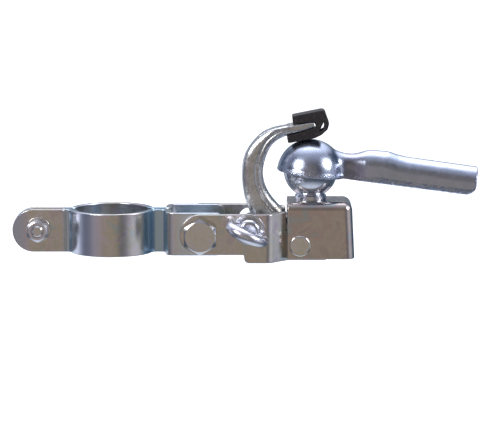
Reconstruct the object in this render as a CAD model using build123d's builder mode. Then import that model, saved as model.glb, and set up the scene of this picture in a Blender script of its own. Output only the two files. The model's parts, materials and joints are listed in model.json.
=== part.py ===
from build123d import *

import os
from math import asin, cos, degrees, radians, sin, sqrt, tan

# Ball hitch of a light trailer. A two-piece strap clamp grips a round tube and its ends form a yoke.
# A fork of two sheet arms tilts on the yoke's bolt and ends in a box that carries the tow ball.
# A forged hook reaches over the ball and holds the drawbar socket down, and a plunger secures it.
#
# Frame: the origin is on the clamped tube's axis at the strap's mid-height. +Z runs up the tube,
# +X points to the trailer, and the heads of the bolts and the pull ring are on the -Y side.
# All dimensions are in millimetres.

os.makedirs("parts", exist_ok=True)

# ---------------------------------------------------------------- driving dimensions
RUN = 0.05                    # radial clearance of a pin or shaft that turns or slides
TOUCH = 0.05                  # gap between flat faces that slide on each other

# strap clamp and yoke
TUBE_RADIUS = 18.0
STRAP = 3.0                   # sheet thickness
STRAP_HEIGHT = 21.4
HALF_GAP = 1.5                # from the mid-plane to the inner face of a tab
FOLD_RADIUS = 3.5             # centreline radius where a tab folds into the band
LIP_ANGLE = 10.0              # the lip leans in until the two halves meet
LIP_START_X = -51.0
LIP_BEND_X = -42.5
LIP_BEND_RADIUS = 10.0
TAB_ROUND_X = -39.0           # centre of the rounded tab end
WEB_X = 28.5                  # centreline of the web between tab and yoke arm
YOKE_Y = 14.25                # centreline of a yoke arm
YOKE_END_X = 56.5
YOKE_CORNER = 4.5

# clamp bolt, M6
CLAMP_BOLT_X = -36.7
CLAMP_BOLT_Z = 0.6
M6 = 3.0                      # shank radius
M6_FLATS = 10.0
M6_HEAD = 4.0
M6_NUT = 5.0
M6_WASHER_RADIUS = 6.25
M6_WASHER = 1.0
BOLT_END = 0.6                # how far a bolt's end stands out of its nut

# tilt bolt, M10
TILT_X = 44.4
TILT_Z = 0.1
M10 = 5.0
M10_FLATS = 15.75
M10_HEAD = 6.4
M10_NUT = 8.0
M10_WASHER_RADIUS = 10.0
M10_WASHER = 2.0
SPACER_RADIUS = 6.5

# fork arms
ARM = 3.5                     # sheet thickness
ARM_INNER_Y = YOKE_Y + STRAP / 2 + 0.1
ARM_Y = ARM_INNER_Y + ARM / 2
ARM_TOP = 10.4
ARM_BOTTOM = -9.9
SKIRT_X = 66.0
SKIRT_BOTTOM = -14.0
SKIRT_CORNER = 2.5
JOGGLE_X = 76.2               # start of the inward joggle
JOGGLE_ANGLE = 45.0
JOGGLE_RADIUS = 4.0
TONGUE_TOP = 1.5              # the arm's top edge inside the box
ARM_TIP_X = 108.0

# ball housing
BOX = 3.0
BOX_LEFT = 87.5
BOX_TOP_RIGHT = 119.6
BOX_BOTTOM_RIGHT = 121.0
BOX_HALF_WIDTH = 13.5
BOX_TOP = 15.5
BOX_BOTTOM = -13.0
BOX_BEND = 4.5
TONGUE_Y = BOX_HALF_WIDTH - BOX - ARM / 2    # centreline of the arm inside the box

# tow ball, M12 shank
BALL_X = 99.2
BALL_Z = 29.8
BALL_RADIUS = 13.4
NECK_RADIUS = 7.0
COLLAR_RADIUS = 7.8
COLLAR_HEIGHT = 2.0
M12 = 6.0
M12_FLATS = 18.0
M12_NUT = 6.0
M12_WASHER_RADIUS = 9.0
M12_WASHER = 2.5
SHANK_BOTTOM = 2.8

# release hook
HOOK_PIVOT_X = 93.8
HOOK_PIVOT_Z = -6.2
HOOK_PIN_RADIUS = 4.0
HOOK_PIN_HEAD_RADIUS = 5.3
HOOK_PIN_HEAD = 0.9
HOOK_EYE_RADIUS = 7.0
HOOK_HALF_WIDTH = 5.5
CAP_HALF_WIDTH = 5.2

# plunger, along -Y through the front arm; distances are from the mid-plane
PLUNGER_X = 68.5
PLUNGER_Z = 3.2
ARM_HOLE_RADIUS = 5.2
SLEEVE_RADIUS = 5.1
FLANGE_RADIUS = 7.6
FLANGE = 1.4
PLUNGER_NUT_FLATS = 13.0
PLUNGER_NUT = 4.0
LOCK_PIN_RADIUS = 3.0
LOCK_PIN_NOSE = 6.6
LOCK_PIN_SHOULDER = 10.5
LOCK_STEM_RADIUS = 1.5
KNOB_RADIUS = 5.7
KNOB_END = 27.6
KNOB_ROUND = 2.2
SLEEVE_INNER_END = 8.0
SPRING_SEAT = 19.4
SPRING_WIRE = 0.35            # wire radius
SPRING_TURNS = 3.5             # so few that the coils clear each other at full pull
RING_RADIUS = 9.1             # to the middle of the wire
RING_WIRE = 2.15              # wire radius
RING_TILT = 24.0
RING_CENTRE = 33.0
RING_ASIDE = -0.6             # the ring hangs off centre in the knob

# drawbar socket, in its own frame: x along the drawbar, z up, origin at the ball's centre
SOCKET_TILT = 7.4             # the drawbar slopes down away from the ball
CUP_INNER = 13.7
CUP_TOP = 15.7                # the cup is a little flattened: height and radius of its outside
CUP_SIDE = 16.6
CUP_RIM_RADIUS = 16.9
CUP_RIM_Z = -1.6
FLARE_START = 14.0            # latitude in degrees where the hollow's wall turns straight
BAR_WALL = 2.2
BAR_BOTTOM = -1.2
BAR_TOP_END = 13.1
BAR_END_X = 82.4
BAR_END_CORNER = 5.0


# ---------------------------------------------------------------- helpers
def across(distance):
    """Plane across Y at the given distance in front of the mid-plane, facing -Y."""
    return Plane(origin=(0, -distance, 0), x_dir=(1, 0, 0), z_dir=(0, -1, 0))


def across_rear(distance):
    """Plane across Y at the given distance behind the mid-plane, facing +Y."""
    return Plane(origin=(0, distance, 0), x_dir=(-1, 0, 0), z_dir=(0, 1, 0))


def moved_to(plane, x, z):
    """The plane with its origin moved to (x, z)."""
    return Plane(origin=(x, plane.origin.Y, z), x_dir=plane.x_dir, z_dir=plane.z_dir)


def hexagon(plane, flats, height, bore=0.0, turn=30.0, both_ends=False):
    """Hexagonal prism standing on the plane, its corners turned down at 30 degrees."""
    inscribed = 0.95 * flats / 2
    spread = inscribed + height * tan(radians(60))
    with BuildPart() as block:
        with BuildSketch(plane):
            RegularPolygon(flats / 2, 6, major_radius=False, rotation=turn)
        extrude(amount=height)
        with Locations(plane):
            Cone(spread, inscribed, height, align=(Align.CENTER, Align.CENTER, Align.MIN),
                 mode=Mode.INTERSECT)
            if both_ends:
                Cone(inscribed, spread, height, align=(Align.CENTER, Align.CENTER, Align.MIN),
                     mode=Mode.INTERSECT)
        if bore:
            with BuildSketch(plane):
                Circle(bore)
            extrude(amount=height, mode=Mode.SUBTRACT)
            mouth = block.edges().filter_by(GeomType.CIRCLE).filter_by(lambda e: abs(e.radius - bore) < 0.01)
            chamfer(mouth, 0.4)
    return block.part


def bolt(plane, radius, flats, head, length):
    """Hexagon bolt with its head standing on the plane and its shank reaching back from it."""
    with BuildPart() as whole:
        add(hexagon(plane, flats, head))
        with BuildSketch(plane):
            Circle(radius)
        extrude(amount=-length)
        chamfer(whole.faces().sort_by(Axis(plane.origin, plane.z_dir))[0].edges(), 0.8)
    return whole.part


def washer(plane, outer, inner, thickness):
    """Plain washer standing on the plane."""
    with BuildPart() as ring:
        with BuildSketch(plane):
            Circle(outer)
            Circle(inner, mode=Mode.SUBTRACT)
        extrude(amount=thickness)
        rims = ring.edges().filter_by(lambda e: abs(e.radius - outer) < 0.01 if e.geom_type == GeomType.CIRCLE
                                      else False)
        fillet(rims, 0.3 * thickness)
    return ring.part


def write(shape, name):
    """Label a finished piece and write its STEP file."""
    shape.label = name
    export_step(shape, f"parts/{name}.step")
    print(f"{name:24s} solids {len(shape.solids())}  volume {shape.volume:10.1f}")


# ---------------------------------------------------------------- strap clamp and yoke
# One half seen from above: lip, tab, fold, band round the tube, fold, tab, web and yoke arm.
band_radius = TUBE_RADIUS + STRAP / 2
tab_y = HALF_GAP + STRAP / 2
fold_x = sqrt((band_radius + FOLD_RADIUS) ** 2 - (tab_y + FOLD_RADIUS) ** 2)
fold_sweep = 90 - degrees(asin((tab_y + FOLD_RADIUS) / (band_radius + FOLD_RADIUS)))
lip_length = (LIP_BEND_X - LIP_START_X) / cos(radians(LIP_ANGLE))
lip_rise = lip_length * sin(radians(LIP_ANGLE)) + LIP_BEND_RADIUS * (1 - cos(radians(LIP_ANGLE)))

with BuildPart() as clamp_front_half:
    with BuildSketch(Plane.XY.offset(-STRAP_HEIGHT / 2)):
        with BuildLine():
            lip = PolarLine((LIP_START_X, lip_rise - tab_y), lip_length, -LIP_ANGLE)
            lip_bend = JernArc(lip @ 1, lip % 1, LIP_BEND_RADIUS, LIP_ANGLE)
            tab = Line(lip_bend @ 1, (-fold_x, -tab_y))
            fold_in = JernArc(tab @ 1, tab % 1, FOLD_RADIUS, -fold_sweep)
            band = JernArc(fold_in @ 1, fold_in % 1, band_radius, 2 * fold_sweep)
            fold_out = JernArc(band @ 1, band % 1, FOLD_RADIUS, -fold_sweep)
            inner_tab = Line(fold_out @ 1, (WEB_X - FOLD_RADIUS, -tab_y))
            web_bend = JernArc(inner_tab @ 1, inner_tab % 1, FOLD_RADIUS, -90)
            web = Line(web_bend @ 1, (WEB_X, FOLD_RADIUS - YOKE_Y))
            arm_bend = JernArc(web @ 1, web % 1, FOLD_RADIUS, 90)
            Line(arm_bend @ 1, (YOKE_END_X, -YOKE_Y))
        trace(line_width=STRAP)
    extrude(amount=STRAP_HEIGHT)
    with BuildSketch(Plane.XZ):
        with Locations(((TAB_ROUND_X + YOKE_END_X) / 2, 0)):
            Rectangle(YOKE_END_X - TAB_ROUND_X, STRAP_HEIGHT)
        with Locations((TAB_ROUND_X, 0)):
            Circle(STRAP_HEIGHT / 2)
    extrude(amount=YOKE_Y + band_radius, both=True, mode=Mode.INTERSECT)
    yoke_corners = clamp_front_half.edges().filter_by(Axis.Y).group_by(Axis.X)[-1]
    fillet(yoke_corners, YOKE_CORNER)
    with BuildSketch(Plane.XZ):
        with Locations((CLAMP_BOLT_X, CLAMP_BOLT_Z)):
            Circle(M6 + 0.3)
        with Locations((TILT_X, TILT_Z)):
            Circle(M10)
    extrude(amount=YOKE_Y + band_radius, both=True, mode=Mode.SUBTRACT)
write(clamp_front_half.part, "clamp_front_half")

with BuildPart() as clamp_rear_half:
    mirror(clamp_front_half.part, about=Plane.XZ)
write(clamp_rear_half.part, "clamp_rear_half")

# Clamp bolt: its nut is in front and its head behind.
tab_face = HALF_GAP + STRAP
nut_seat = tab_face + M6_WASHER
with BuildPart() as clamp_bolt:
    add(bolt(moved_to(across_rear(nut_seat), CLAMP_BOLT_X, CLAMP_BOLT_Z), M6, M6_FLATS, M6_HEAD,
             2 * nut_seat + M6_NUT + BOLT_END))
write(clamp_bolt.part, "clamp_bolt")

with BuildPart() as clamp_nut:
    add(hexagon(moved_to(across(nut_seat), CLAMP_BOLT_X, CLAMP_BOLT_Z), M6_FLATS, M6_NUT, bore=M6,
                both_ends=True))
write(clamp_nut.part, "clamp_nut")

with BuildPart() as clamp_washers:
    for seat in (across(tab_face), across_rear(tab_face)):
        add(washer(moved_to(seat, CLAMP_BOLT_X, CLAMP_BOLT_Z), M6_WASHER_RADIUS, M6 + 0.2, M6_WASHER))
write(clamp_washers.part, "clamp_washers")

# Tilt bolt through fork, yoke and spacer.
arm_face = ARM_INNER_Y + ARM
with BuildPart() as tilt_bolt:
    add(bolt(moved_to(across(arm_face + TOUCH), TILT_X, TILT_Z), M10, M10_FLATS, M10_HEAD,
             2 * (arm_face + TOUCH) + M10_WASHER + M10_NUT + 2 * BOLT_END))
    # three plain raised bars in place of a strength mark
    head_top = across(arm_face + TOUCH + M10_HEAD)
    with BuildSketch(moved_to(head_top, TILT_X, TILT_Z)):
        with PolarLocations(3.6, 3, start_angle=90):
            SlotOverall(3.0, 0.8)
    extrude(amount=0.25)
write(tilt_bolt.part, "tilt_bolt")

with BuildPart() as tilt_nut:
    add(hexagon(moved_to(across_rear(arm_face + TOUCH + M10_WASHER), TILT_X, TILT_Z), M10_FLATS,
                M10_NUT, bore=M10, both_ends=True))
write(tilt_nut.part, "tilt_nut")

with BuildPart() as tilt_washer:
    add(washer(moved_to(across_rear(arm_face + TOUCH), TILT_X, TILT_Z), M10_WASHER_RADIUS, M10 + 0.2,
               M10_WASHER))
write(tilt_washer.part, "tilt_washer")

spacer_half = YOKE_Y - STRAP / 2
with BuildPart() as yoke_spacer:
    with BuildSketch(moved_to(across(-spacer_half), TILT_X, TILT_Z)):
        Circle(SPACER_RADIUS)
        Circle(M10 + 0.1, mode=Mode.SUBTRACT)
    extrude(amount=2 * spacer_half)
    chamfer(yoke_spacer.edges().filter_by(GeomType.CIRCLE), 0.3)
write(yoke_spacer.part, "yoke_spacer")

# ---------------------------------------------------------------- fork arms
# Seen from above an arm runs straight past the yoke, joggles inward and ends as a tongue in the box.
arm_end_radius = (ARM_TOP - ARM_BOTTOM) / 2
joggle_reach = ARM_Y - TONGUE_Y
bend_drop = JOGGLE_RADIUS * (1 - cos(radians(JOGGLE_ANGLE)))
joggle_length = (joggle_reach - 2 * bend_drop) / sin(radians(JOGGLE_ANGLE))

with BuildPart() as coupler_arm_front:
    with BuildSketch(Plane.XY.offset(SKIRT_BOTTOM)):
        with BuildLine():
            blade = Line((TILT_X - arm_end_radius, -ARM_Y), (JOGGLE_X, -ARM_Y))
            bend_in = JernArc(blade @ 1, blade % 1, JOGGLE_RADIUS, JOGGLE_ANGLE)
            slope = PolarLine(bend_in @ 1, joggle_length, JOGGLE_ANGLE)
            bend_out = JernArc(slope @ 1, slope % 1, JOGGLE_RADIUS, -JOGGLE_ANGLE)
            Line(bend_out @ 1, (ARM_TIP_X, -TONGUE_Y))
        trace(line_width=ARM)
    extrude(amount=ARM_TOP - SKIRT_BOTTOM)
    with BuildSketch(Plane.XZ) as arm_outline:
        with BuildLine():
            Polyline((TILT_X, ARM_BOTTOM), (SKIRT_X, ARM_BOTTOM), (SKIRT_X + 0.3, SKIRT_BOTTOM),
                     (ARM_TIP_X, SKIRT_BOTTOM), (ARM_TIP_X, TONGUE_TOP), (BOX_LEFT - 0.7, TONGUE_TOP),
                     (BOX_LEFT - 0.7, ARM_TOP), (TILT_X, ARM_TOP), close=True)
        make_face()
        step_corners = arm_outline.vertices().group_by(Axis.Y)[0].sort_by(Axis.X)
        fillet(step_corners, SKIRT_CORNER)
        with Locations((TILT_X, (ARM_TOP + ARM_BOTTOM) / 2)):
            Circle(arm_end_radius)
    extrude(amount=arm_face, both=True, mode=Mode.INTERSECT)
    with BuildSketch(Plane.XZ):
        with Locations((TILT_X, TILT_Z)):
            Circle(M10 + RUN)
        with Locations((PLUNGER_X, PLUNGER_Z)):
            Circle(ARM_HOLE_RADIUS)
        with Locations((HOOK_PIVOT_X, HOOK_PIVOT_Z)):
            Circle(HOOK_PIN_RADIUS)
    extrude(amount=arm_face, both=True, mode=Mode.SUBTRACT)
write(coupler_arm_front.part, "coupler_arm_front")

with BuildPart() as coupler_arm_rear:
    mirror(coupler_arm_front.part, about=Plane.XZ)
write(coupler_arm_rear.part, "coupler_arm_rear")

# ---------------------------------------------------------------- ball housing
# A drawn box, open below and towards the fork. Its right wall has draft.
with BuildPart() as ball_housing:
    with BuildSketch(Plane.XZ):
        with BuildLine():
            Polyline((BOX_LEFT, BOX_BOTTOM), (BOX_BOTTOM_RIGHT, BOX_BOTTOM), (BOX_TOP_RIGHT, BOX_TOP),
                     (BOX_LEFT, BOX_TOP), close=True)
        make_face()
    extrude(amount=BOX_HALF_WIDTH, both=True)
    top_face = ball_housing.faces().sort_by(Axis.Z)[-1]
    right_face = ball_housing.faces().sort_by(Axis.X)[-1]
    top_bends = top_face.edges().sort_by(Axis.X)[1:]
    right_bends = right_face.edges().sort_by(Axis.Z)[1:3]
    fillet(top_bends + right_bends, BOX_BEND)
    openings = [ball_housing.faces().sort_by(Axis.X)[0], ball_housing.faces().sort_by(Axis.Z)[0]]
    offset(amount=-BOX, openings=openings)
    with BuildSketch(Plane.XY.offset(BOX_TOP)):
        with Locations((BALL_X, 0)):
            Circle(M12 + RUN)
    extrude(amount=-BOX, mode=Mode.SUBTRACT)
    with BuildSketch(Plane.XZ):
        with Locations((HOOK_PIVOT_X, HOOK_PIVOT_Z)):
            Circle(HOOK_PIN_RADIUS)
    extrude(amount=BOX_HALF_WIDTH, both=True, mode=Mode.SUBTRACT)
write(ball_housing.part, "ball_housing")

# ---------------------------------------------------------------- tow ball
with BuildPart() as tow_ball:
    with BuildSketch(Plane.XZ):
        with BuildLine():
            neck_z = -sqrt(BALL_RADIUS ** 2 - NECK_RADIUS ** 2)
            seat_z = BOX_TOP + TOUCH - BALL_Z
            ball_sweep = -90 - degrees(asin(-neck_z / BALL_RADIUS))
            ball_arc = CenterArc((BALL_X, BALL_Z), BALL_RADIUS, 90, ball_sweep)
            Polyline(ball_arc @ 1, (BALL_X + NECK_RADIUS, BALL_Z + seat_z + COLLAR_HEIGHT + 0.6),
                     (BALL_X + COLLAR_RADIUS, BALL_Z + seat_z + COLLAR_HEIGHT),
                     (BALL_X + COLLAR_RADIUS, BALL_Z + seat_z), (BALL_X + M12, BALL_Z + seat_z),
                     (BALL_X + M12, SHANK_BOTTOM + 0.9), (BALL_X + M12 - 0.9, SHANK_BOTTOM),
                     (BALL_X, SHANK_BOTTOM), ball_arc @ 0)
        make_face()
    revolve(axis=Axis((BALL_X, 0, 0), (0, 0, 1)))
write(tow_ball.part, "tow_ball")

washer_top = BOX_TOP - BOX - TOUCH
with BuildPart() as ball_washer:
    with BuildSketch(Plane.XY.offset(washer_top - M12_WASHER)):
        with Locations((BALL_X, 0)):
            Circle(M12_WASHER_RADIUS)
            Circle(M12, mode=Mode.SUBTRACT)
            with Locations((0, -M12_WASHER_RADIUS)):
                Rectangle(1.2, M12_WASHER_RADIUS, mode=Mode.SUBTRACT)
    extrude(amount=M12_WASHER)
write(ball_washer.part, "ball_lock_washer")

nut_top = washer_top - M12_WASHER
with BuildPart() as ball_nut:
    add(hexagon(Plane(origin=(BALL_X, 0, nut_top - M12_NUT)), M12_FLATS, M12_NUT, bore=M12,
                both_ends=True))
write(ball_nut.part, "ball_nut")

# ---------------------------------------------------------------- release hook and its cap
eye_join = (HOOK_PIVOT_X - 0.5 * HOOK_EYE_RADIUS, HOOK_PIVOT_Z - sin(radians(60)) * HOOK_EYE_RADIUS)
with BuildSketch(Plane.XZ.offset(-HOOK_HALF_WIDTH)) as hook_outline:
    with BuildLine():
        back = Spline(eye_join, (80.5, -7.4), (72.6, 2.0), (67.2, 14.0), (65.0, 27.0), (66.4, 37.5),
                      (71.6, 45.5), (78.8, 50.6), (87.0, 52.5), (99.8, 54.6),
                      tangents=[(-0.87, 0.5), (0.99, 0.12)])
        tip = ThreePointArc(back @ 1, (101.7, 53.4), (100.4, 51.7))
        throat = Spline(tip @ 1, (96.0, 50.1), (87.0, 47.6), (80.6, 43.8), (76.9, 37.0), (75.4, 28.3),
                        (77.6, 20.0), (82.6, 13.2), (87.2, 8.2), (89.0, -0.9))
        Line(throat @ 1, back @ 0)
    make_face()
    with Locations((HOOK_PIVOT_X, HOOK_PIVOT_Z)):
        Circle(HOOK_EYE_RADIUS)

with BuildPart() as release_hook:
    extrude(hook_outline.sketch, amount=2 * HOOK_HALF_WIDTH, dir=(0, -1, 0))
    with BuildSketch(Plane.XZ):
        with Locations((HOOK_PIVOT_X, HOOK_PIVOT_Z)):
            Circle(HOOK_PIN_RADIUS + RUN)
    extrude(amount=HOOK_HALF_WIDTH, both=True, mode=Mode.SUBTRACT)
write(release_hook.part, "release_hook")

with BuildPart() as hook_cap:
    with BuildSketch(Plane.XZ.offset(-CAP_HALF_WIDTH)) as cap_outline:
        with BuildLine():
            Polyline((87.9, 44.0), (101.2, 46.5), (104.6, 48.2), (107.6, 51.0), (108.3, 54.0),
                     (105.9, 60.8), (89.9, 57.6), (90.3, 53.2), (87.3, 47.2), close=True)
        make_face()
        outer_corners = cap_outline.vertices().sort_by(Axis.X)
        fillet(outer_corners[-4:], 2.0)
        add(hook_outline.sketch, mode=Mode.SUBTRACT)
        with BuildLine():
            Polyline((103.3, 49.8), (105.8, 55.0), (105.9, 51.0), close=True)
        make_face(mode=Mode.SUBTRACT)
    extrude(amount=2 * CAP_HALF_WIDTH)
write(hook_cap.part, "hook_cap")

with BuildPart() as hook_pivot_pin:
    with BuildSketch(moved_to(across(-BOX_HALF_WIDTH - HOOK_PIN_HEAD), HOOK_PIVOT_X, HOOK_PIVOT_Z)):
        Circle(HOOK_PIN_RADIUS)
    extrude(amount=2 * (BOX_HALF_WIDTH + HOOK_PIN_HEAD))
    for face in (across(BOX_HALF_WIDTH), across_rear(BOX_HALF_WIDTH)):
        with BuildSketch(moved_to(face, HOOK_PIVOT_X, HOOK_PIVOT_Z)):
            Circle(HOOK_PIN_HEAD_RADIUS)
        extrude(amount=HOOK_PIN_HEAD)
    for side in (0, -1):
        chamfer(hook_pivot_pin.faces().sort_by(Axis.Y)[side].edges(), 0.5)
write(hook_pivot_pin.part, "hook_pivot_pin")

tongue_inner = TONGUE_Y - ARM / 2
spacer_gap = tongue_inner - HOOK_HALF_WIDTH - 2 * TOUCH
with BuildPart() as hook_spacers:
    for face in (across(HOOK_HALF_WIDTH + TOUCH), across_rear(HOOK_HALF_WIDTH + TOUCH)):
        add(washer(moved_to(face, HOOK_PIVOT_X, HOOK_PIVOT_Z), HOOK_EYE_RADIUS, HOOK_PIN_RADIUS + 0.1,
                   spacer_gap))
write(hook_spacers.part, "hook_spacers")

# ---------------------------------------------------------------- plunger
# Turned pieces are drawn in the plunger's own half-section: x is the radius, y the distance in
# front of the mid-plane.
plunger_section = Plane(origin=(PLUNGER_X, 0, PLUNGER_Z), x_dir=(1, 0, 0), z_dir=(0, 0, -1))
plunger_axis = Axis((PLUNGER_X, 0, PLUNGER_Z), (0, 1, 0))
flange_face = arm_face + FLANGE

with BuildPart() as plunger_sleeve:
    with BuildSketch(plunger_section):
        with BuildLine():
            inner = LOCK_PIN_RADIUS + RUN
            stem = LOCK_STEM_RADIUS + RUN
            Polyline((inner, SLEEVE_INNER_END), (SLEEVE_RADIUS, SLEEVE_INNER_END),
                     (SLEEVE_RADIUS, arm_face), (FLANGE_RADIUS, arm_face), (FLANGE_RADIUS, flange_face),
                     (stem, flange_face), (stem, SPRING_SEAT), (inner, SPRING_SEAT), close=True)
        make_face()
    revolve(axis=plunger_axis)
write(plunger_sleeve.part, "plunger_sleeve")

with BuildPart() as plunger_nut:
    seat = across_rear(-ARM_INNER_Y)
    add(hexagon(moved_to(seat, PLUNGER_X, PLUNGER_Z), PLUNGER_NUT_FLATS, PLUNGER_NUT, bore=SLEEVE_RADIUS))
write(plunger_nut.part, "plunger_nut")

ring_normal = (sin(radians(RING_TILT)), 0, cos(radians(RING_TILT)))
ring_plane = Plane(origin=(PLUNGER_X + RING_ASIDE, -RING_CENTRE, PLUNGER_Z), x_dir=(0, -1, 0),
                   z_dir=ring_normal)
knob_foot = flange_face + TOUCH
with BuildPart() as lock_pin:
    with BuildSketch(plunger_section):
        with BuildLine():
            Polyline((0, LOCK_PIN_NOSE), (LOCK_PIN_RADIUS - 0.8, LOCK_PIN_NOSE),
                     (LOCK_PIN_RADIUS, LOCK_PIN_NOSE + 0.8), (LOCK_PIN_RADIUS, LOCK_PIN_SHOULDER),
                     (LOCK_STEM_RADIUS, LOCK_PIN_SHOULDER), (LOCK_STEM_RADIUS, knob_foot),
                     (KNOB_RADIUS, knob_foot), (KNOB_RADIUS, KNOB_END), (0, KNOB_END), close=True)
        make_face()
    revolve(axis=plunger_axis)
    knob_rim = lock_pin.faces().sort_by(Axis.Y)[0].edges()
    fillet(knob_rim, KNOB_ROUND)
    # the hole that the ring hangs in
    with Locations(ring_plane):
        Torus(RING_RADIUS, RING_WIRE + RUN, mode=Mode.SUBTRACT)
write(lock_pin.part, "lock_pin")

spring_start = LOCK_PIN_SHOULDER + SPRING_WIRE + 0.1
spring_length = SPRING_SEAT - SPRING_WIRE - 0.1 - spring_start
spring_radius = (LOCK_PIN_RADIUS + LOCK_STEM_RADIUS) / 2
with BuildPart() as plunger_spring:
    with BuildLine() as coil:
        Helix(spring_length / SPRING_TURNS, spring_length, spring_radius,
              center=(PLUNGER_X, -spring_start, PLUNGER_Z), direction=(0, -1, 0))
    with BuildSketch(Plane(origin=coil.line @ 0, z_dir=coil.line % 0)):
        Circle(SPRING_WIRE)
    sweep()
write(plunger_spring.part, "plunger_spring")

with BuildPart() as pull_ring:
    with Locations(ring_plane):
        Torus(RING_RADIUS, RING_WIRE)
write(pull_ring.part, "pull_ring")

# ---------------------------------------------------------------- drawbar socket
ball_centre = Vector(BALL_X, 0, BALL_Z)
along = Vector(cos(radians(SOCKET_TILT)), 0, -sin(radians(SOCKET_TILT)))
socket_side = Plane(origin=ball_centre, x_dir=along, z_dir=(0, -1, 0))
socket_axis = Axis(ball_centre, socket_side.y_dir)


def arch(x, half_width, top, bottom):
    """Cross-section of the drawbar at x: straight sides and a round top."""
    with BuildSketch(Plane(origin=ball_centre + along * x, x_dir=(0, 1, 0), z_dir=along)) as section:
        with BuildLine():
            shoulder = top - half_width
            side = Line((half_width, bottom), (half_width, shoulder))
            crown = ThreePointArc(side @ 1, (0, top), (-half_width, shoulder))
            Polyline(crown @ 1, (-half_width, bottom), side @ 0)
        make_face()
    return section.sketch


# x, half width, top: the neck is waisted behind the cup, then swells to the full bar
NECK = [(8.0, 8.4, 12.4), (13.0, 7.5, 11.4), (18.0, 7.1, 10.9), (23.5, 7.5, 12.0), (29.0, 8.1, 13.2),
        (36.0, 8.3, 13.6)]
bar_start, bar_half_width, bar_top = NECK[-1]
cut_below = BAR_BOTTOM - 6.0
# the sphere through the cup's top and its side at the ball's mid-height
dome_drop = (CUP_SIDE ** 2 - CUP_TOP ** 2) / (2 * CUP_TOP)
dome_radius = CUP_TOP + dome_drop

with BuildPart() as drawbar_socket:
    with BuildSketch(socket_side):
        with BuildLine():
            dome = CenterArc((0, -dome_drop), dome_radius, 90, degrees(asin(dome_drop / dome_radius)) - 90)
            Polyline(dome @ 1, (CUP_RIM_RADIUS, CUP_RIM_Z), (0, CUP_RIM_Z), dome @ 0)
        make_face()
    revolve(axis=socket_axis)
    for x, half_width, top in NECK:
        add(arch(x, half_width, top, BAR_BOTTOM))
    loft()
    add(arch(bar_start, bar_half_width, bar_top, BAR_BOTTOM))
    add(arch(BAR_END_X, bar_half_width, BAR_TOP_END, BAR_BOTTOM))
    loft()
    for x, half_width, top in NECK[1:]:
        add(arch(x, half_width - BAR_WALL, top - BAR_WALL, cut_below))
    loft(mode=Mode.SUBTRACT)
    add(arch(bar_start, bar_half_width - BAR_WALL, bar_top - BAR_WALL, cut_below))
    add(arch(BAR_END_X + 1, bar_half_width - BAR_WALL, BAR_TOP_END - BAR_WALL, cut_below))
    loft(mode=Mode.SUBTRACT)
    with BuildSketch(socket_side):
        with BuildLine():
            hollow = CenterArc((0, 0), CUP_INNER, 90, FLARE_START - 90)
            rim_inner = CUP_RIM_RADIUS - BAR_WALL
            Polyline(hollow @ 1, (rim_inner, CUP_RIM_Z), (rim_inner, cut_below), (0, cut_below),
                     hollow @ 0)
        make_face()
    revolve(axis=socket_axis, mode=Mode.SUBTRACT)
    end_corners = drawbar_socket.edges().filter_by(Axis.Y).group_by(Axis.X)[-1]
    fillet(end_corners, BAR_END_CORNER)
write(drawbar_socket.part, "drawbar_socket")
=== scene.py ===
import json
import math

import bmesh
import bpy
import numpy as np
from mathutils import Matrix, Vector, noise


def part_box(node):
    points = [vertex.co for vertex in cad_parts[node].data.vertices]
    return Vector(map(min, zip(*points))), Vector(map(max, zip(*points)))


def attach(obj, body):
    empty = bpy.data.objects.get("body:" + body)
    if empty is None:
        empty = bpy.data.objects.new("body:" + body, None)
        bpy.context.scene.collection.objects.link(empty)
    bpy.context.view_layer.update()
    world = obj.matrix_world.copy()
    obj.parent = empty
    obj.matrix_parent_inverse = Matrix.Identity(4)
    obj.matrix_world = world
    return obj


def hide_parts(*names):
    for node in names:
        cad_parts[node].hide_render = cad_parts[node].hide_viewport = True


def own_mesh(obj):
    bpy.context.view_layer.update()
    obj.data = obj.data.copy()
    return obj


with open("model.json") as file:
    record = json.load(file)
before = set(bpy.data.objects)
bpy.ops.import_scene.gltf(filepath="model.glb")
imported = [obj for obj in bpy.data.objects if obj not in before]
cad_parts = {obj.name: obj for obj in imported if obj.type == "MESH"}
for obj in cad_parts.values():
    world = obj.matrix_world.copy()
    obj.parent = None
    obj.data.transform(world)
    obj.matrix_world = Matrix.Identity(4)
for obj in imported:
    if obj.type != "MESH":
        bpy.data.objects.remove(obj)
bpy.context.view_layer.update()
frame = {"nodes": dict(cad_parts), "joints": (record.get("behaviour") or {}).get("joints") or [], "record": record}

MM = 0.001
PIT_DEPTH = 300e-6            # of the skin roughened by folding and hammering
BODY_OF = {node: body for body, nodes in frame["record"]["behaviour"]["bodies"].items() for node in nodes}
SLOT_OF = {row["node"]: row["material_slot"] for row in frame["record"]["subparts"]}
JOINTS = {joint["name"]: joint for joint in frame["joints"]}


# ---------------------------------------------------------------- node trees
def add_node(tree, kind, inputs=None, **settings):
    """A new shader node. An input is a value, or another node's output to link from."""
    made = tree.nodes.new(kind)
    for name, value in settings.items():
        setattr(made, name, value)
    for name, value in (inputs or {}).items():
        if isinstance(value, bpy.types.NodeSocket):
            tree.links.new(value, made.inputs[name])
        else:
            made.inputs[name].default_value = value
    return made


def grain(tree, place, size_mm, detail=3.0, distortion=0.0):
    """Noise whose patches are about size_mm wide."""
    return add_node(tree, "ShaderNodeTexNoise", {"Vector": place, "Scale": 1000 / size_mm,
                                                 "Detail": detail, "Distortion": distortion}).outputs["Fac"]


def spread(tree, value, low, high, start=0.3, end=0.7):
    """The value, stretched from start..end to low..high."""
    return add_node(tree, "ShaderNodeMapRange", {"Value": value, "From Min": start, "From Max": end,
                                                 "To Min": low, "To Max": high}).outputs["Result"]


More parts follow.
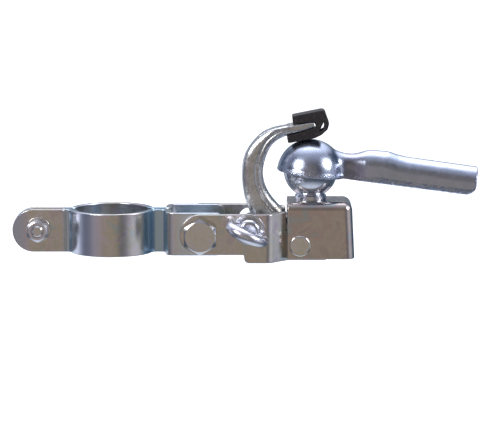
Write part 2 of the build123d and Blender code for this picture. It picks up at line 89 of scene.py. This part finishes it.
def colour_ramp(tree, value, stops):
    """A colour ramp with (position, colour) stops."""
    made = add_node(tree, "ShaderNodeValToRGB", {"Fac": value})
    ramp = made.color_ramp
    while len(ramp.elements) < len(stops):
        ramp.elements.new(1.0)
    for element, (position, colour) in zip(ramp.elements, stops):
        element.position = position
        element.color = (*colour, 1.0)
    return made.outputs["Color"]


def blend_colour(tree, kind, factor, first, second):
    """Two colours mixed or multiplied. Each argument is a value, or a socket to link from."""
    made = add_node(tree, "ShaderNodeMix", data_type="RGBA", blend_type=kind)
    for socket, value in zip((made.inputs[0], made.inputs[6], made.inputs[7]), (factor, first, second)):
        if isinstance(value, bpy.types.NodeSocket):
            tree.links.new(value, socket)
        else:
            socket.default_value = value
    return made.outputs[2]


def new_material(name):
    """An empty material: itself, its node tree, the place on the object, and its shader."""
    material = bpy.data.materials.new(name)
    material.use_nodes = True
    tree = material.node_tree
    tree.nodes.clear()
    place = add_node(tree, "ShaderNodeTexCoord").outputs["Object"]
    shader = add_node(tree, "ShaderNodeBsdfPrincipled")
    output = add_node(tree, "ShaderNodeOutputMaterial")
    tree.links.new(shader.outputs["BSDF"], output.inputs["Surface"])
    return material, tree, place, shader


# ---------------------------------------------------------------- materials
def near_plane(tree, place, normal, offset_mm, half_width_mm):
    """1 on a plane through the object and 0 beyond half_width_mm from it."""
    along = add_node(tree, "ShaderNodeVectorMath", {0: place, 1: normal}, operation="DOT_PRODUCT")
    away = add_node(tree, "ShaderNodeMath", {0: along.outputs["Value"], 1: offset_mm * MM},
                    operation="SUBTRACT")
    size = add_node(tree, "ShaderNodeMath", {0: away.outputs[0]}, operation="ABSOLUTE")
    return spread(tree, size.outputs[0], 1.0, 0.0, half_width_mm * MM * 0.4, half_width_mm * MM)


def zinc(name, tints, roughness, rough_spread, grain_um, wave_um, patch_mm=9.0, speck=0.16, rough_lines=(),
         grain_mm=0.45, painted_reflections=()):
    """Zinc plating: mottled tints, fine grain, faint waves in the sheet and small bright specks.

    rough_lines are planes (normal, offset in mm, half width in mm) along which folding roughened the skin.
    The last argument lists planes with a colour in front; near each plane the surface is painted that colour, as
    painted reflections and painted shade on curved parts.
    """
    material, tree, place, shader = new_material(name)
    patches = grain(tree, place, patch_mm, detail=4.0, distortion=0.6)
    stops = [(0.34 + 0.32 * i / (len(tints) - 1), tint) for i, tint in enumerate(tints)]
    tint = colour_ramp(tree, patches, stops)
    fine = spread(tree, grain(tree, place, 0.7, detail=5.0), 1.0 - speck, 1.0)
    # painted reflections and painted shade: bands of colour near the given planes
    for painted_colour, normal, offset, half_width in painted_reflections:
        mask = near_plane(tree, place, normal, offset, half_width)
        tint = blend_colour(tree, "MIX", mask, tint, (*painted_colour, 1))
    shader_colour = blend_colour(tree, "MULTIPLY", 1.0, tint, fine)
    tree.links.new(shader_colour, shader.inputs["Base Color"])
    shader.inputs["Metallic"].default_value = 1.0
    rough = spread(tree, grain(tree, place, 2.4, detail=5.0), roughness - rough_spread,
                   roughness + rough_spread)
    tree.links.new(rough, shader.inputs["Roughness"])
    waves = add_node(tree, "ShaderNodeBump", {"Height": grain(tree, place, 7.0, detail=2.0),
                                              "Distance": wave_um * 1e-6})
    bump = add_node(tree, "ShaderNodeBump", {"Height": grain(tree, place, grain_mm, detail=3.0),
                                             "Distance": grain_um * 1e-6,
                                             "Normal": waves.outputs["Normal"]})
    for normal, offset, half_width in rough_lines:
        mask = near_plane(tree, place, normal, offset, half_width)
        pits = add_node(tree, "ShaderNodeMath", {0: mask, 1: grain(tree, place, 0.9, detail=3.0)},
                        operation="MULTIPLY")
        bump = add_node(tree, "ShaderNodeBump", {"Height": pits.outputs[0], "Distance": PIT_DEPTH,
                                                 "Normal": bump.outputs["Normal"]})
    tree.links.new(bump.outputs["Normal"], shader.inputs["Normal"])
    return material


def plastic(name):
    """Matt black moulded plastic with a fine texture and a little dust."""
    material, tree, place, shader = new_material(name)
    dust = spread(tree, grain(tree, place, 1.3, detail=6.0), 0.0, 1.0, 0.52, 0.8)
    tree.links.new(blend_colour(tree, "MIX", dust, (0.011, 0.009, 0.011, 1), (0.045, 0.04, 0.045, 1)),
                   shader.inputs["Base Color"])
    tree.links.new(spread(tree, grain(tree, place, 1.8), 0.42, 0.62), shader.inputs["Roughness"])
    bump = add_node(tree, "ShaderNodeBump", {"Height": grain(tree, place, 0.35, detail=3.0),
                                             "Distance": 14e-6})
    tree.links.new(bump.outputs["Normal"], shader.inputs["Normal"])
    return material


PINK, OLIVE, TEAL, PALE = (0.69, 0.62, 0.65), (0.72, 0.69, 0.60), (0.61, 0.69, 0.72), (0.75, 0.73, 0.73)
SHEET = dict(tints=[PINK, PALE, OLIVE, TEAL], roughness=0.23, rough_spread=0.03, grain_um=1.4, wave_um=34,
             speck=0.05, patch_mm=7.0)

# the drawbar's own directions, and where planes across them lie, in millimetres
DRAWBAR_TILT = math.radians(7.4)
DRAWBAR_UP = (math.sin(DRAWBAR_TILT), 0.0, math.cos(DRAWBAR_TILT))
DRAWBAR_ALONG = (math.cos(DRAWBAR_TILT), 0.0, -math.sin(DRAWBAR_TILT))
SOCKET_CENTRE = Vector(JOINTS["socket_pitch"]["pos_m"])
NECK_PLACE = SOCKET_CENTRE.dot(Vector(DRAWBAR_ALONG)) / MM + 20.5
LOWER_EDGE_PLACE = SOCKET_CENTRE.dot(Vector(DRAWBAR_UP)) / MM - 0.4

# painted reflections round the clamp's folds, light and dark bands of colour where the curved sheet reflects the
# room: colour, X in millimetres, half width in millimetres
FOLD_PAINTED_REFLECTIONS = [((0.52, 0.70, 0.84), 21.8, 7.5), ((0.62, 0.74, 0.82), -20.3, 5.0),
               ((0.86, 0.89, 0.98), -11.5, 8.0), ((0.80, 0.90, 1.00), 42.0, 15.0),
               ((0.60, 0.68, 0.74), -49.0, 8.0)]
ALONG_X = (1, 0, 0)

MATERIALS = {
    "zinc_sheet": zinc("zinc_sheet", **SHEET),
    "folded_zinc": zinc("folded_zinc", rough_lines=[(ALONG_X, -23.3, 0.9)],
                        # painted reflections round the folds
                        painted_reflections=[(tint, ALONG_X, x, half_width) for tint, x, half_width in FOLD_PAINTED_REFLECTIONS],
                        **SHEET),
    "fastener_zinc": zinc("fastener_zinc", [(0.75, 0.75, 0.70), (0.79, 0.79, 0.79), (0.75, 0.77, 0.84)],
                          roughness=0.18, rough_spread=0.05, grain_um=2, wave_um=16, patch_mm=4.0, speck=0.05),
    "bright_zinc": zinc("bright_zinc", [(0.64, 0.69, 0.77), (0.74, 0.76, 0.84), (0.68, 0.72, 0.79)],
                        roughness=0.20, rough_spread=0.04, grain_um=1.2, wave_um=6, patch_mm=5.0, speck=0.06),
    "housing_zinc": zinc("housing_zinc",
                         [(0.60, 0.53, 0.54), (0.69, 0.65, 0.59), (0.66, 0.56, 0.55), (0.56, 0.62, 0.64)],
                         roughness=0.24, rough_spread=0.04, grain_um=2.0, wave_um=34, patch_mm=10.0,
                         speck=0.08),
    "ring_zinc": zinc("ring_zinc", [(0.78, 0.78, 0.86), (0.86, 0.85, 0.93), (0.80, 0.81, 0.88)],
                      roughness=0.28, rough_spread=0.03, grain_um=0.8, wave_um=3, patch_mm=5.0, speck=0.04),
    "polished_zinc": zinc("polished_zinc", [(0.50, 0.57, 0.72), (0.58, 0.64, 0.80), (0.53, 0.60, 0.73)],
                          roughness=0.25, rough_spread=0.05, grain_um=1.5, wave_um=22, speck=0.05,
                          rough_lines=[(DRAWBAR_UP, LOWER_EDGE_PLACE, 1.7)],
                          # painted dark reflection across the neck, a darker band of colour where the pinch
                          # reflects the dark room
                          painted_reflections=[((0.36, 0.38, 0.48), DRAWBAR_ALONG, NECK_PLACE, 7.5)]),
    "forged_zinc": zinc("forged_zinc", [(0.68, 0.70, 0.69), (0.82, 0.85, 0.86), (0.72, 0.73, 0.75)],
                        roughness=0.29, rough_spread=0.08, grain_um=34, wave_um=50, patch_mm=4.0, speck=0.28,
                        grain_mm=0.6),
    "spring_steel": zinc("spring_steel", [(0.40, 0.40, 0.42), (0.5, 0.5, 0.52)], roughness=0.3,
                         rough_spread=0.08, grain_um=3, wave_um=4),
    "black_plastic": plastic("black_plastic"),
}


def paint(piece, slot):
    piece.data.materials.clear()
    piece.data.materials.append(MATERIALS[slot])


# ---------------------------------------------------------------- meshes
def merged_copy(node):
    """The node's mesh with its vertices joined and its flat faces whole."""
    shape = bmesh.new()
    shape.from_mesh(frame["nodes"][node].data)
    bmesh.ops.remove_doubles(shape, verts=shape.verts, dist=1e-7)
    bmesh.ops.dissolve_limit(shape, angle_limit=math.radians(0.4), verts=shape.verts, edges=shape.edges)
    bmesh.ops.recalc_face_normals(shape, faces=shape.faces)
    return shape


def new_piece(name, shape, node, sharp_angle=38.0):
    """An object from a bmesh that stands for a CAD node and rides with it."""
    for face in shape.faces:
        face.smooth = True
    for edge in shape.edges:
        if len(edge.link_faces) == 2:
            edge.smooth = edge.calc_face_angle() < math.radians(sharp_angle)
    mesh = bpy.data.meshes.new(name)
    shape.to_mesh(mesh)
    shape.free()
    piece = bpy.data.objects.new(name, mesh)
    bpy.context.scene.collection.objects.link(piece)
    paint(piece, SLOT_OF[node])
    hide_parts(node)
    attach(piece, BODY_OF[node])
    weighted = piece.modifiers.new("flat_faces_stay_flat", "WEIGHTED_NORMAL")
    weighted.keep_sharp = True
    weighted.weight = 100
    return piece


def rounded(node, width_mm, segments=3, sharp=35.0):
    """The node's shape with its sharp edges rounded, as shearing, rolling or tumbling leaves them."""
    shape = merged_copy(node)
    edges = [e for e in shape.edges if len(e.link_faces) == 2 and e.calc_face_angle() > math.radians(sharp)]
    bmesh.ops.bevel(shape, geom=edges, offset=width_mm * MM, offset_type="OFFSET", segments=segments,
                    profile=0.5, affect="EDGES", clamp_overlap=False)
    return new_piece(f"{node}_finished", shape, node)


# node: width of its rounded edges in millimetres
ROUNDING = {
    "clamp_front_half": 0.45, "clamp_rear_half": 0.45, "coupler_arm_front": 0.5, "coupler_arm_rear": 0.5,
    "ball_housing": 0.5, "hook_pivot_pin": 0.25, "plunger_sleeve": 0.3, "hook_cap": 0.6,
}
for node, width in ROUNDING.items():
    rounded(node, width)
for half in ("clamp_front_half_finished", "clamp_rear_half_finished"):
    paint(bpy.data.objects[half], "folded_zinc")
paint(bpy.data.objects["ball_housing_finished"], "housing_zinc")


def lathe(profile, x, z, steps=96):
    """A closed solid turned about an axis along Y through (x, z). profile is (radius, y) pairs, in mm."""
    shape = bmesh.new()
    rings = []
    for radius, y in profile:
        rings.append([shape.verts.new((
            (x + radius * math.cos(2 * math.pi * i / steps)) * MM, y * MM,
            (z + radius * math.sin(2 * math.pi * i / steps)) * MM)) for i in range(steps)])
    for low, high in zip(rings, rings[1:]):
        for i in range(steps):
            shape.faces.new((low[i], low[i - 1], high[i - 1], high[i]))
    shape.faces.new(rings[0])
    shape.faces.new(list(reversed(rings[-1])))
    bmesh.ops.recalc_face_normals(shape, faces=shape.faces)
    return shape


def common_part(shape, tool):
    """What two closed bmeshes share."""
    held = []
    for name, source in (("kept", shape), ("tool", tool)):
        mesh = bpy.data.meshes.new(name)
        source.to_mesh(mesh)
        source.free()
        held.append(bpy.data.objects.new(name, mesh))
        bpy.context.scene.collection.objects.link(held[-1])
    kept, cutter = held
    meet = kept.modifiers.new("meet", "BOOLEAN")
    meet.operation, meet.solver, meet.object = "INTERSECT", "EXACT", cutter
    evaluated = kept.evaluated_get(bpy.context.evaluated_depsgraph_get())
    result = bmesh.new()
    result.from_mesh(evaluated.to_mesh())
    evaluated.to_mesh_clear()
    for thing in held:
        mesh = thing.data
        bpy.data.objects.remove(thing)
        bpy.data.meshes.remove(mesh)
    return result


def turned_hexagon(node, flats, hex_length=None):
    """A bolt or nut whose hexagon has its corners turned off at 30 degrees, at its front or at both ends.

    hex_length is a bolt head's height, and None for a nut.
    """
    low, high = (np.array(corner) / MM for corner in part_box(node))
    x, z = (low[0] + high[0]) / 2, (low[2] + high[2]) / 2
    face = 0.435 * flats
    reach = 0.62 * flats
    depth = (reach - face) * math.tan(math.radians(30))
    front = [(face, low[1]), (reach, low[1] + depth)]
    if hex_length is None:
        back = [(reach, high[1] - depth), (face, high[1])]
    else:
        back = [(reach, low[1] + hex_length), (face, PAST_THE_SHANK)]
    shape = common_part(merged_copy(node), lathe(front + back, x, z))
    bmesh.ops.remove_doubles(shape, verts=shape.verts, dist=2e-6)
    bmesh.ops.dissolve_limit(shape, angle_limit=math.radians(0.4), verts=shape.verts, edges=shape.edges)
    return new_piece(f"{node}_turned", shape, node, sharp_angle=15)


M10_FLATS, M10_HEAD, M6_FLATS = 15.75, 6.4, 10.0
PAST_THE_SHANK = 40.0
turned_hexagon("tilt_bolt", M10_FLATS, M10_HEAD)
paint(turned_hexagon("clamp_nut", M6_FLATS), "ring_zinc")
turned_hexagon("tilt_nut", M10_FLATS)


def remeshed(node, voxel_mm):
    """The node's mesh as an even grid of small faces, in a bmesh."""
    mesh = frame["nodes"][node].data.copy()
    carrier = bpy.data.objects.new("carrier", mesh)
    bpy.context.scene.collection.objects.link(carrier)
    joiner = carrier.modifiers.new("join", "WELD")
    joiner.merge_threshold = 1e-6
    remesh = carrier.modifiers.new("remesh", "REMESH")
    remesh.mode = "VOXEL"
    remesh.voxel_size = voxel_mm * MM
    depsgraph = bpy.context.evaluated_depsgraph_get()
    evaluated = carrier.evaluated_get(depsgraph)
    shape = bmesh.new()
    shape.from_mesh(evaluated.to_mesh())
    evaluated.to_mesh_clear()
    bpy.data.objects.remove(carrier)
    bpy.data.meshes.remove(mesh)
    return shape


def relax(shape, rounds, verts=None):
    """Vertices moved halfway to their neighbours' middle, all of them or the given ones."""
    for _ in range(rounds):
        bmesh.ops.smooth_vert(shape, verts=verts or shape.verts, factor=0.5, use_axis_x=True, use_axis_y=True,
                              use_axis_z=True)


def ease(value, start, end):
    """0 at start, 1 at end, smooth between, on an array or a number."""
    t = np.clip((value - start) / (end - start), 0.0, 1.0)
    return t * t * (3 - 2 * t)


def smooth_curve(points, divisions=12):
    """Points along a Catmull-Rom curve through the given ones."""
    p = np.array(points, dtype=float)
    p = np.vstack([2 * p[0] - p[1], p, 2 * p[-1] - p[-2]])
    t = np.linspace(0, 1, divisions, endpoint=False)[:, None]
    parts = []
    for a, b, c, d in zip(p, p[1:], p[2:], p[3:]):
        parts.append(0.5 * (2 * b + (c - a) * t + (2 * a - 5 * b + 4 * c - d) * t ** 2
                            + (3 * b - a - 3 * c + d) * t ** 3))
    return np.vstack(parts + [p[-2][None]])


def distance_to_curve(points, curve):
    """Each point's distance to a polyline, all in the same plane."""
    best = np.full(len(points), np.inf)
    for a, b in zip(curve, curve[1:]):
        run = b - a
        t = np.clip(((points - a) @ run) / (run @ run), 0.0, 1.0)[:, None]
        best = np.minimum(best, np.linalg.norm(points - (a + t * run), axis=1))
    return best


def coordinates(shape):
    return np.array([vert.co for vert in shape.verts]) / MM


def lumps(points_mm, size_mm, seed):
    """Smooth random heights from -1 to 1, one for each point."""
    shift = Vector((seed * 7.31, seed * 3.17, seed * 5.53))
    return np.array([noise.noise(Vector(p) / size_mm + shift) for p in points_mm])


def put_back(shape, points_mm):
    for vert, point in zip(shape.verts, points_mm):
        vert.co = Vector(point) * MM


# the hook's curves in the XZ plane, in millimetres
HOOK_BACK = [(90.3, -12.26), (80.5, -7.4), (72.6, 2.0), (67.2, 14.0), (65.0, 27.0), (66.4, 37.5),
             (71.6, 45.5), (78.8, 50.6), (87.0, 52.5), (99.8, 54.6), (101.7, 53.4)]
HOOK_THROAT = [(100.4, 51.7), (96.0, 50.1), (87.0, 47.6), (80.6, 43.8), (76.9, 37.0), (75.4, 28.3),
               (77.6, 20.0), (82.6, 13.2), (87.2, 8.2), (89.0, -0.9)]
HOOK_HALF_WIDTH = 5.5
HOOK_EDGE_RADIUS = 0.7


def make_hook():
    """The forged hook: round outer edge, hollow along the middle, bevelled throat and a grainy skin."""
    shape = remeshed("release_hook", 0.36)
    relax(shape, 2)
    points = coordinates(shape)
    plane = points[:, [0, 2]]
    outer = distance_to_curve(plane, smooth_curve(HOOK_BACK))
    inner = distance_to_curve(plane, smooth_curve(HOOK_THROAT))
    # the profile fades out towards the eye, and narrows towards the tip
    above_eye = ease(plane[:, 1], 2.0, 8.0)
    near_tip = ease(plane[:, 0], 84.0, 93.0) * ease(plane[:, 1], 40.0, 44.0)
    crown = 3.6 - 2.2 * ease(plane[:, 0], 74.0, 82.0) * ease(plane[:, 1], 40.0, 44.0)
    # drop is how far a side falls in from its flat face: the crown, the edge rounds, the throat's bevel
    # and the groove beside it
    drop = 0.9 * np.clip(crown - outer, 0, None) ** 2 / (2 * crown)
    for edge in (outer, inner):
        short = np.clip(HOOK_EDGE_RADIUS - edge, 0, HOOK_EDGE_RADIUS)
        drop += HOOK_EDGE_RADIUS - np.sqrt(np.clip(HOOK_EDGE_RADIUS ** 2 - short ** 2, 0, None))
    bevel_width = 2.5 - 1.3 * near_tip
    drop += 0.62 * np.clip(bevel_width - inner, 0, None)
    drop += 0.55 * (1 - near_tip) * np.exp(-((inner - bevel_width - 0.8) / 0.65) ** 2)
    points[:, 1] *= 1 - above_eye * drop / HOOK_HALF_WIDTH
    grainy = above_eye * (0.25 + 0.75 * ease(inner, bevel_width, bevel_width + 1.2))
    skin = 0.045 * lumps(points, 0.9, 1) + 0.07 * lumps(points, 2.6, 2)
    points[:, 1] -= np.abs(skin) * np.sign(points[:, 1]) * grainy
    put_back(shape, points)
    new_piece("release_hook_forged", shape, "release_hook", sharp_angle=80)


def make_socket():
    """The drawbar's cup and channel, pinched at the neck and hammered along the lower edge."""
    shape = remeshed("drawbar_socket", 0.42)
    relax(shape, 3)

    def in_bar(points):
        """Each point's place along the bar and above its middle, from the ball's centre."""
        away = points - np.array(JOINTS["socket_pitch"]["pos_m"]) / MM
        return (away[:, 0] * math.cos(DRAWBAR_TILT) - away[:, 2] * math.sin(DRAWBAR_TILT),
                away[:, 0] * math.sin(DRAWBAR_TILT) + away[:, 2] * math.cos(DRAWBAR_TILT))

    along, above = in_bar(coordinates(shape))
    shape.verts.ensure_lookup_table()
    neck = [shape.verts[i] for i in np.flatnonzero((along > 9.5) & (along < 26.0) & (above > -0.4))]
    relax(shape, 24, neck)
    points = coordinates(shape)
    along, above = in_bar(points)
    # side faces pressed in at the neck, hammered along the lower edge, and slightly dented behind the neck
    pinch = 1.05 * ease(along, 12.0, 18.0) * (1 - ease(along, 19.5, 28.5))
    pinch *= ease(above, -1.2, 4.2) * (1 - ease(above, 4.2, 10.5))
    side = np.sign(points[:, 1])
    on_bar = ease(along, 14.0, 17.0)
    edge = ease(along, 27.0, 32.0) * (1 - ease(above, -0.2, 1.8))
    inward = pinch + edge * (0.3 + 0.45 * np.abs(lumps(points, 1.7, 3)) + 0.25 * lumps(points, 4.5, 4))
    points[:, 1] -= side * inward
    dents = 0.16 * lumps(points, 14.0, 5) * ease(along, 24.0, 34.0)
    points[:, 1] -= side * np.abs(dents)
    # the cup's rim is uneven
    rim = (1 - ease(np.abs(above + 1.0), 0.8, 2.4)) * (1 - on_bar)
    points[:, 0] -= rim * 0.03 * np.abs(lumps(points, 2.2, 6)) * np.sign(along)
    points[:, 1] -= rim * 0.03 * np.abs(lumps(points, 2.2, 7)) * side
    # the top line rises behind the neck and runs lower from there to the end
    hump = 0.9 * ease(along, 20.0, 28.0) * (1 - ease(along, 36.0, 43.0)) - 0.5 * ease(along, 40.0, 48.0)
    lift = hump * ease(above, 0.0, 5.0)
    points[:, 0] += lift * math.sin(DRAWBAR_TILT)
    points[:, 2] += lift * math.cos(DRAWBAR_TILT)
    put_back(shape, points)
    relax(shape, 6, neck)
    new_piece("drawbar_socket_pressed", shape, "drawbar_socket", sharp_angle=70)


def make_ring():
    """The pull ring: thin where it hangs in the knob, thicker and slightly flattened in front."""
    low, high = (np.array(corner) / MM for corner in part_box("pull_ring"))
    wire, thicker = 2.15, 0.85        # radius at the knob, and how much more it has in front
    sag, lean = 0.55, 0.35            # how far the front is set down and aside
    tilt = math.radians(24.0)
    reach = (high[1] - low[1]) / 2 - wire
    centre = (low + high) / 2
    across = np.array([math.cos(tilt), 0.0, -math.sin(tilt)])
    normal = np.array([math.sin(tilt), 0.0, math.cos(tilt)])
    forward = np.array([0.0, -1.0, 0.0])
    shape = bmesh.new()
    turns, sides = 112, 36
    rings = []
    for i in range(turns):
        angle = 2 * math.pi * i / turns
        front = (1 + math.cos(angle)) / 2
        radius = wire + thicker * front ** 1.5
        spine = reach - thicker * front ** 1.5
        out = forward * math.cos(angle) + across * math.sin(angle)
        middle = centre + out * spine - normal * sag * front - across * lean * front
        row = []
        for j in range(sides):
            turn = 2 * math.pi * j / sides
            row.append(shape.verts.new(tuple(
                (middle + (out * math.cos(turn) + normal * math.sin(turn)) * radius) * MM)))
        rings.append(row)
    for i in range(turns):
        for j in range(sides):
            shape.faces.new((rings[i - 1][j - 1], rings[i][j - 1], rings[i][j], rings[i - 1][j]))
    bmesh.ops.recalc_face_normals(shape, faces=shape.faces)
    paint(new_piece("pull_ring_cast", shape, "pull_ring"), "ring_zinc")


def make_spring():
    """The plunger's spring, as a piece with a mesh of its own, at its modelled length. The real spring is pressed
    against the sleeve's end as the ring is pulled.
    """
    spring = new_piece("plunger_spring_coil", merged_copy("plunger_spring"), "plunger_spring")
    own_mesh(spring)


make_hook()
make_socket()
make_ring()
make_spring()

# every other piece keeps its CAD mesh
for node, piece in frame["nodes"].items():
    paint(piece, SLOT_OF[node])

# ---------------------------------------------------------------- stage, light and camera
AIM = Vector((0.069, 0.0, 0.00955))
LIT_PLACE = Vector((0.09, 0.0, 0.02))
FLOOR_Z = -0.16               # below the drawbar's end at every pose
CEILING_LAMP = (0.0, 0.47, 0.883)
CAMERA_ELEVATION = math.radians(8.9)
CAMERA_DISTANCE = 1.25
VIEW_WIDTH = 0.25
SENSOR = 36.0


def make_floor():
    """A pale floor. Reflections pass it by and see the dim studio instead."""
    mesh = bpy.data.meshes.new("floor")
    reach = 12.0
    mesh.from_pydata([(-reach, -reach, FLOOR_Z), (reach, -reach, FLOOR_Z), (reach, reach, FLOOR_Z),
                      (-reach, reach, FLOOR_Z)], [], [(0, 1, 2, 3)])
    floor = bpy.data.objects.new("floor", mesh)
    bpy.context.scene.collection.objects.link(floor)
    material, _, _, shader = new_material("pale_floor")
    shader.inputs["Base Color"].default_value = (0.9, 0.9, 0.9, 1)
    shader.inputs["Roughness"].default_value = 0.9
    shader.inputs["Emission Color"].default_value = (1, 1, 1, 1)
    shader.inputs["Emission Strength"].default_value = 0.55
    floor.visible_glossy = False
    mesh.materials.append(material)


def make_room():
    """A plain studio: dim walls of mixed greys round the object, a darker floor and a pale ceiling."""
    world = bpy.data.worlds.new("studio")
    bpy.context.scene.world = world
    world.use_nodes = True
    tree = world.node_tree
    tree.nodes.clear()
    direction = add_node(tree, "ShaderNodeTexCoord").outputs["Generated"]
    axes = add_node(tree, "ShaderNodeSeparateXYZ", {"Vector": direction})
    ahead = add_node(tree, "ShaderNodeMath", {0: axes.outputs["Y"], 1: -1.0}, operation="MULTIPLY")
    angle = add_node(tree, "ShaderNodeMath", {0: axes.outputs["X"], 1: ahead.outputs[0]}, operation="ARCTAN2")
    turn = spread(tree, angle.outputs[0], 0.0, 1.0, -math.pi, math.pi)
    walls = colour_ramp(tree, turn, [(0.5 + degrees / 360, colour) for degrees, colour in (
        (-178, (0.25, 0.30, 0.34)), (-150, (0.35, 0.39, 0.44)), (-126, (0.85, 0.88, 1.05)),
        (-107, (0.80, 0.83, 1.00)), (-93, (0.28, 0.30, 0.38)), (-80, (0.11, 0.12, 0.16)),
        (-60, (0.16, 0.16, 0.20)), (-48, (0.28, 0.24, 0.27)), (-25, (0.35, 0.29, 0.30)),
        (0, (0.35, 0.30, 0.255)), (16, (0.33, 0.285, 0.245)), (28, (0.15, 0.145, 0.17)),
        (40, (0.20, 0.20, 0.23)), (58, (0.56, 0.56, 0.63)), (78, (0.56, 0.57, 0.65)),
        (93, (0.40, 0.42, 0.49)), (105, (0.10, 0.15, 0.21)), (122, (0.04, 0.08, 0.14)),
        (150, (0.16, 0.22, 0.28)), (178, (0.25, 0.30, 0.34)))])
    upper = spread(tree, axes.outputs["Z"], 0.0, 0.62, -0.02, 0.22)
    room = blend_colour(tree, "MULTIPLY", upper, walls, (0.34, 0.36, 0.42, 1))
    overhead = spread(tree, axes.outputs["Z"], 0.0, 1.0, 0.62, 0.90)
    room = blend_colour(tree, "MIX", overhead, room, (0.42, 0.44, 0.52, 1))
    to_lamp = add_node(tree, "ShaderNodeVectorMath", {0: direction, 1: CEILING_LAMP}, operation="DOT_PRODUCT")
    ceiling = spread(tree, to_lamp.outputs["Value"], 0.0, 1.0, 0.70, 0.93)
    room = blend_colour(tree, "MIX", ceiling, room, (1.55, 1.58, 1.8, 1))
    skirting = spread(tree, axes.outputs["Z"], 1.0, 0.0, -0.50, -0.24)
    room = blend_colour(tree, "MIX", skirting, room, (0.08, 0.10, 0.13, 1))
    ground = spread(tree, axes.outputs["Z"], 1.0, 0.0, -0.90, -0.62)
    room = blend_colour(tree, "MIX", ground, room, (0.70, 0.76, 0.86, 1))
    seen = add_node(tree, "ShaderNodeLightPath").outputs["Is Camera Ray"]
    colour = blend_colour(tree, "MIX", seen, room, (1.0, 1.0, 1.0, 1))
    background = add_node(tree, "ShaderNodeBackground", {"Color": colour, "Strength": 1.0})
    output = add_node(tree, "ShaderNodeOutputWorld")
    tree.links.new(background.outputs["Background"], output.inputs["Surface"])


def add_softbox(name, direction, distance, size, power, shape="DISK"):
    """An area lamp, distance metres away from the object and facing it."""
    light = bpy.data.lights.new(name, "AREA")
    light.shape = shape
    light.size = size
    light.energy = power
    lamp = bpy.data.objects.new(name, light)
    bpy.context.scene.collection.objects.link(lamp)
    lamp.location = LIT_PLACE + Vector(direction).normalized() * distance
    lamp.rotation_mode = "QUATERNION"
    lamp.rotation_quaternion = (lamp.location - LIT_PLACE).to_track_quat("Z", "Y")


def make_camera():
    """In front of the object and a little above it."""
    data = bpy.data.cameras.new("camera")
    data.sensor_width = SENSOR
    data.lens = SENSOR * CAMERA_DISTANCE / VIEW_WIDTH
    camera = bpy.data.objects.new("camera", data)
    bpy.context.scene.collection.objects.link(camera)
    back = Vector((0.0, -math.cos(CAMERA_ELEVATION), math.sin(CAMERA_ELEVATION)))
    camera.location = AIM + back * CAMERA_DISTANCE
    camera.rotation_mode = "QUATERNION"
    camera.rotation_quaternion = back.to_track_quat("Z", "Y")
    bpy.context.scene.camera = camera


make_floor()
make_room()
add_softbox("lamp_left", (-0.673, -0.594, 0.52), distance=1.1, size=0.55, power=4.6)
add_softbox("lamp_right", (0.899, -0.348, 0.50), distance=1.1, size=0.55, power=4.6)
add_softbox("ceiling_softbox", (0.0, 0.5, 1.0), distance=1.3, size=0.9, power=4.0, shape="SQUARE")
make_camera()
bpy.context.scene.view_settings.view_transform = "Standard"
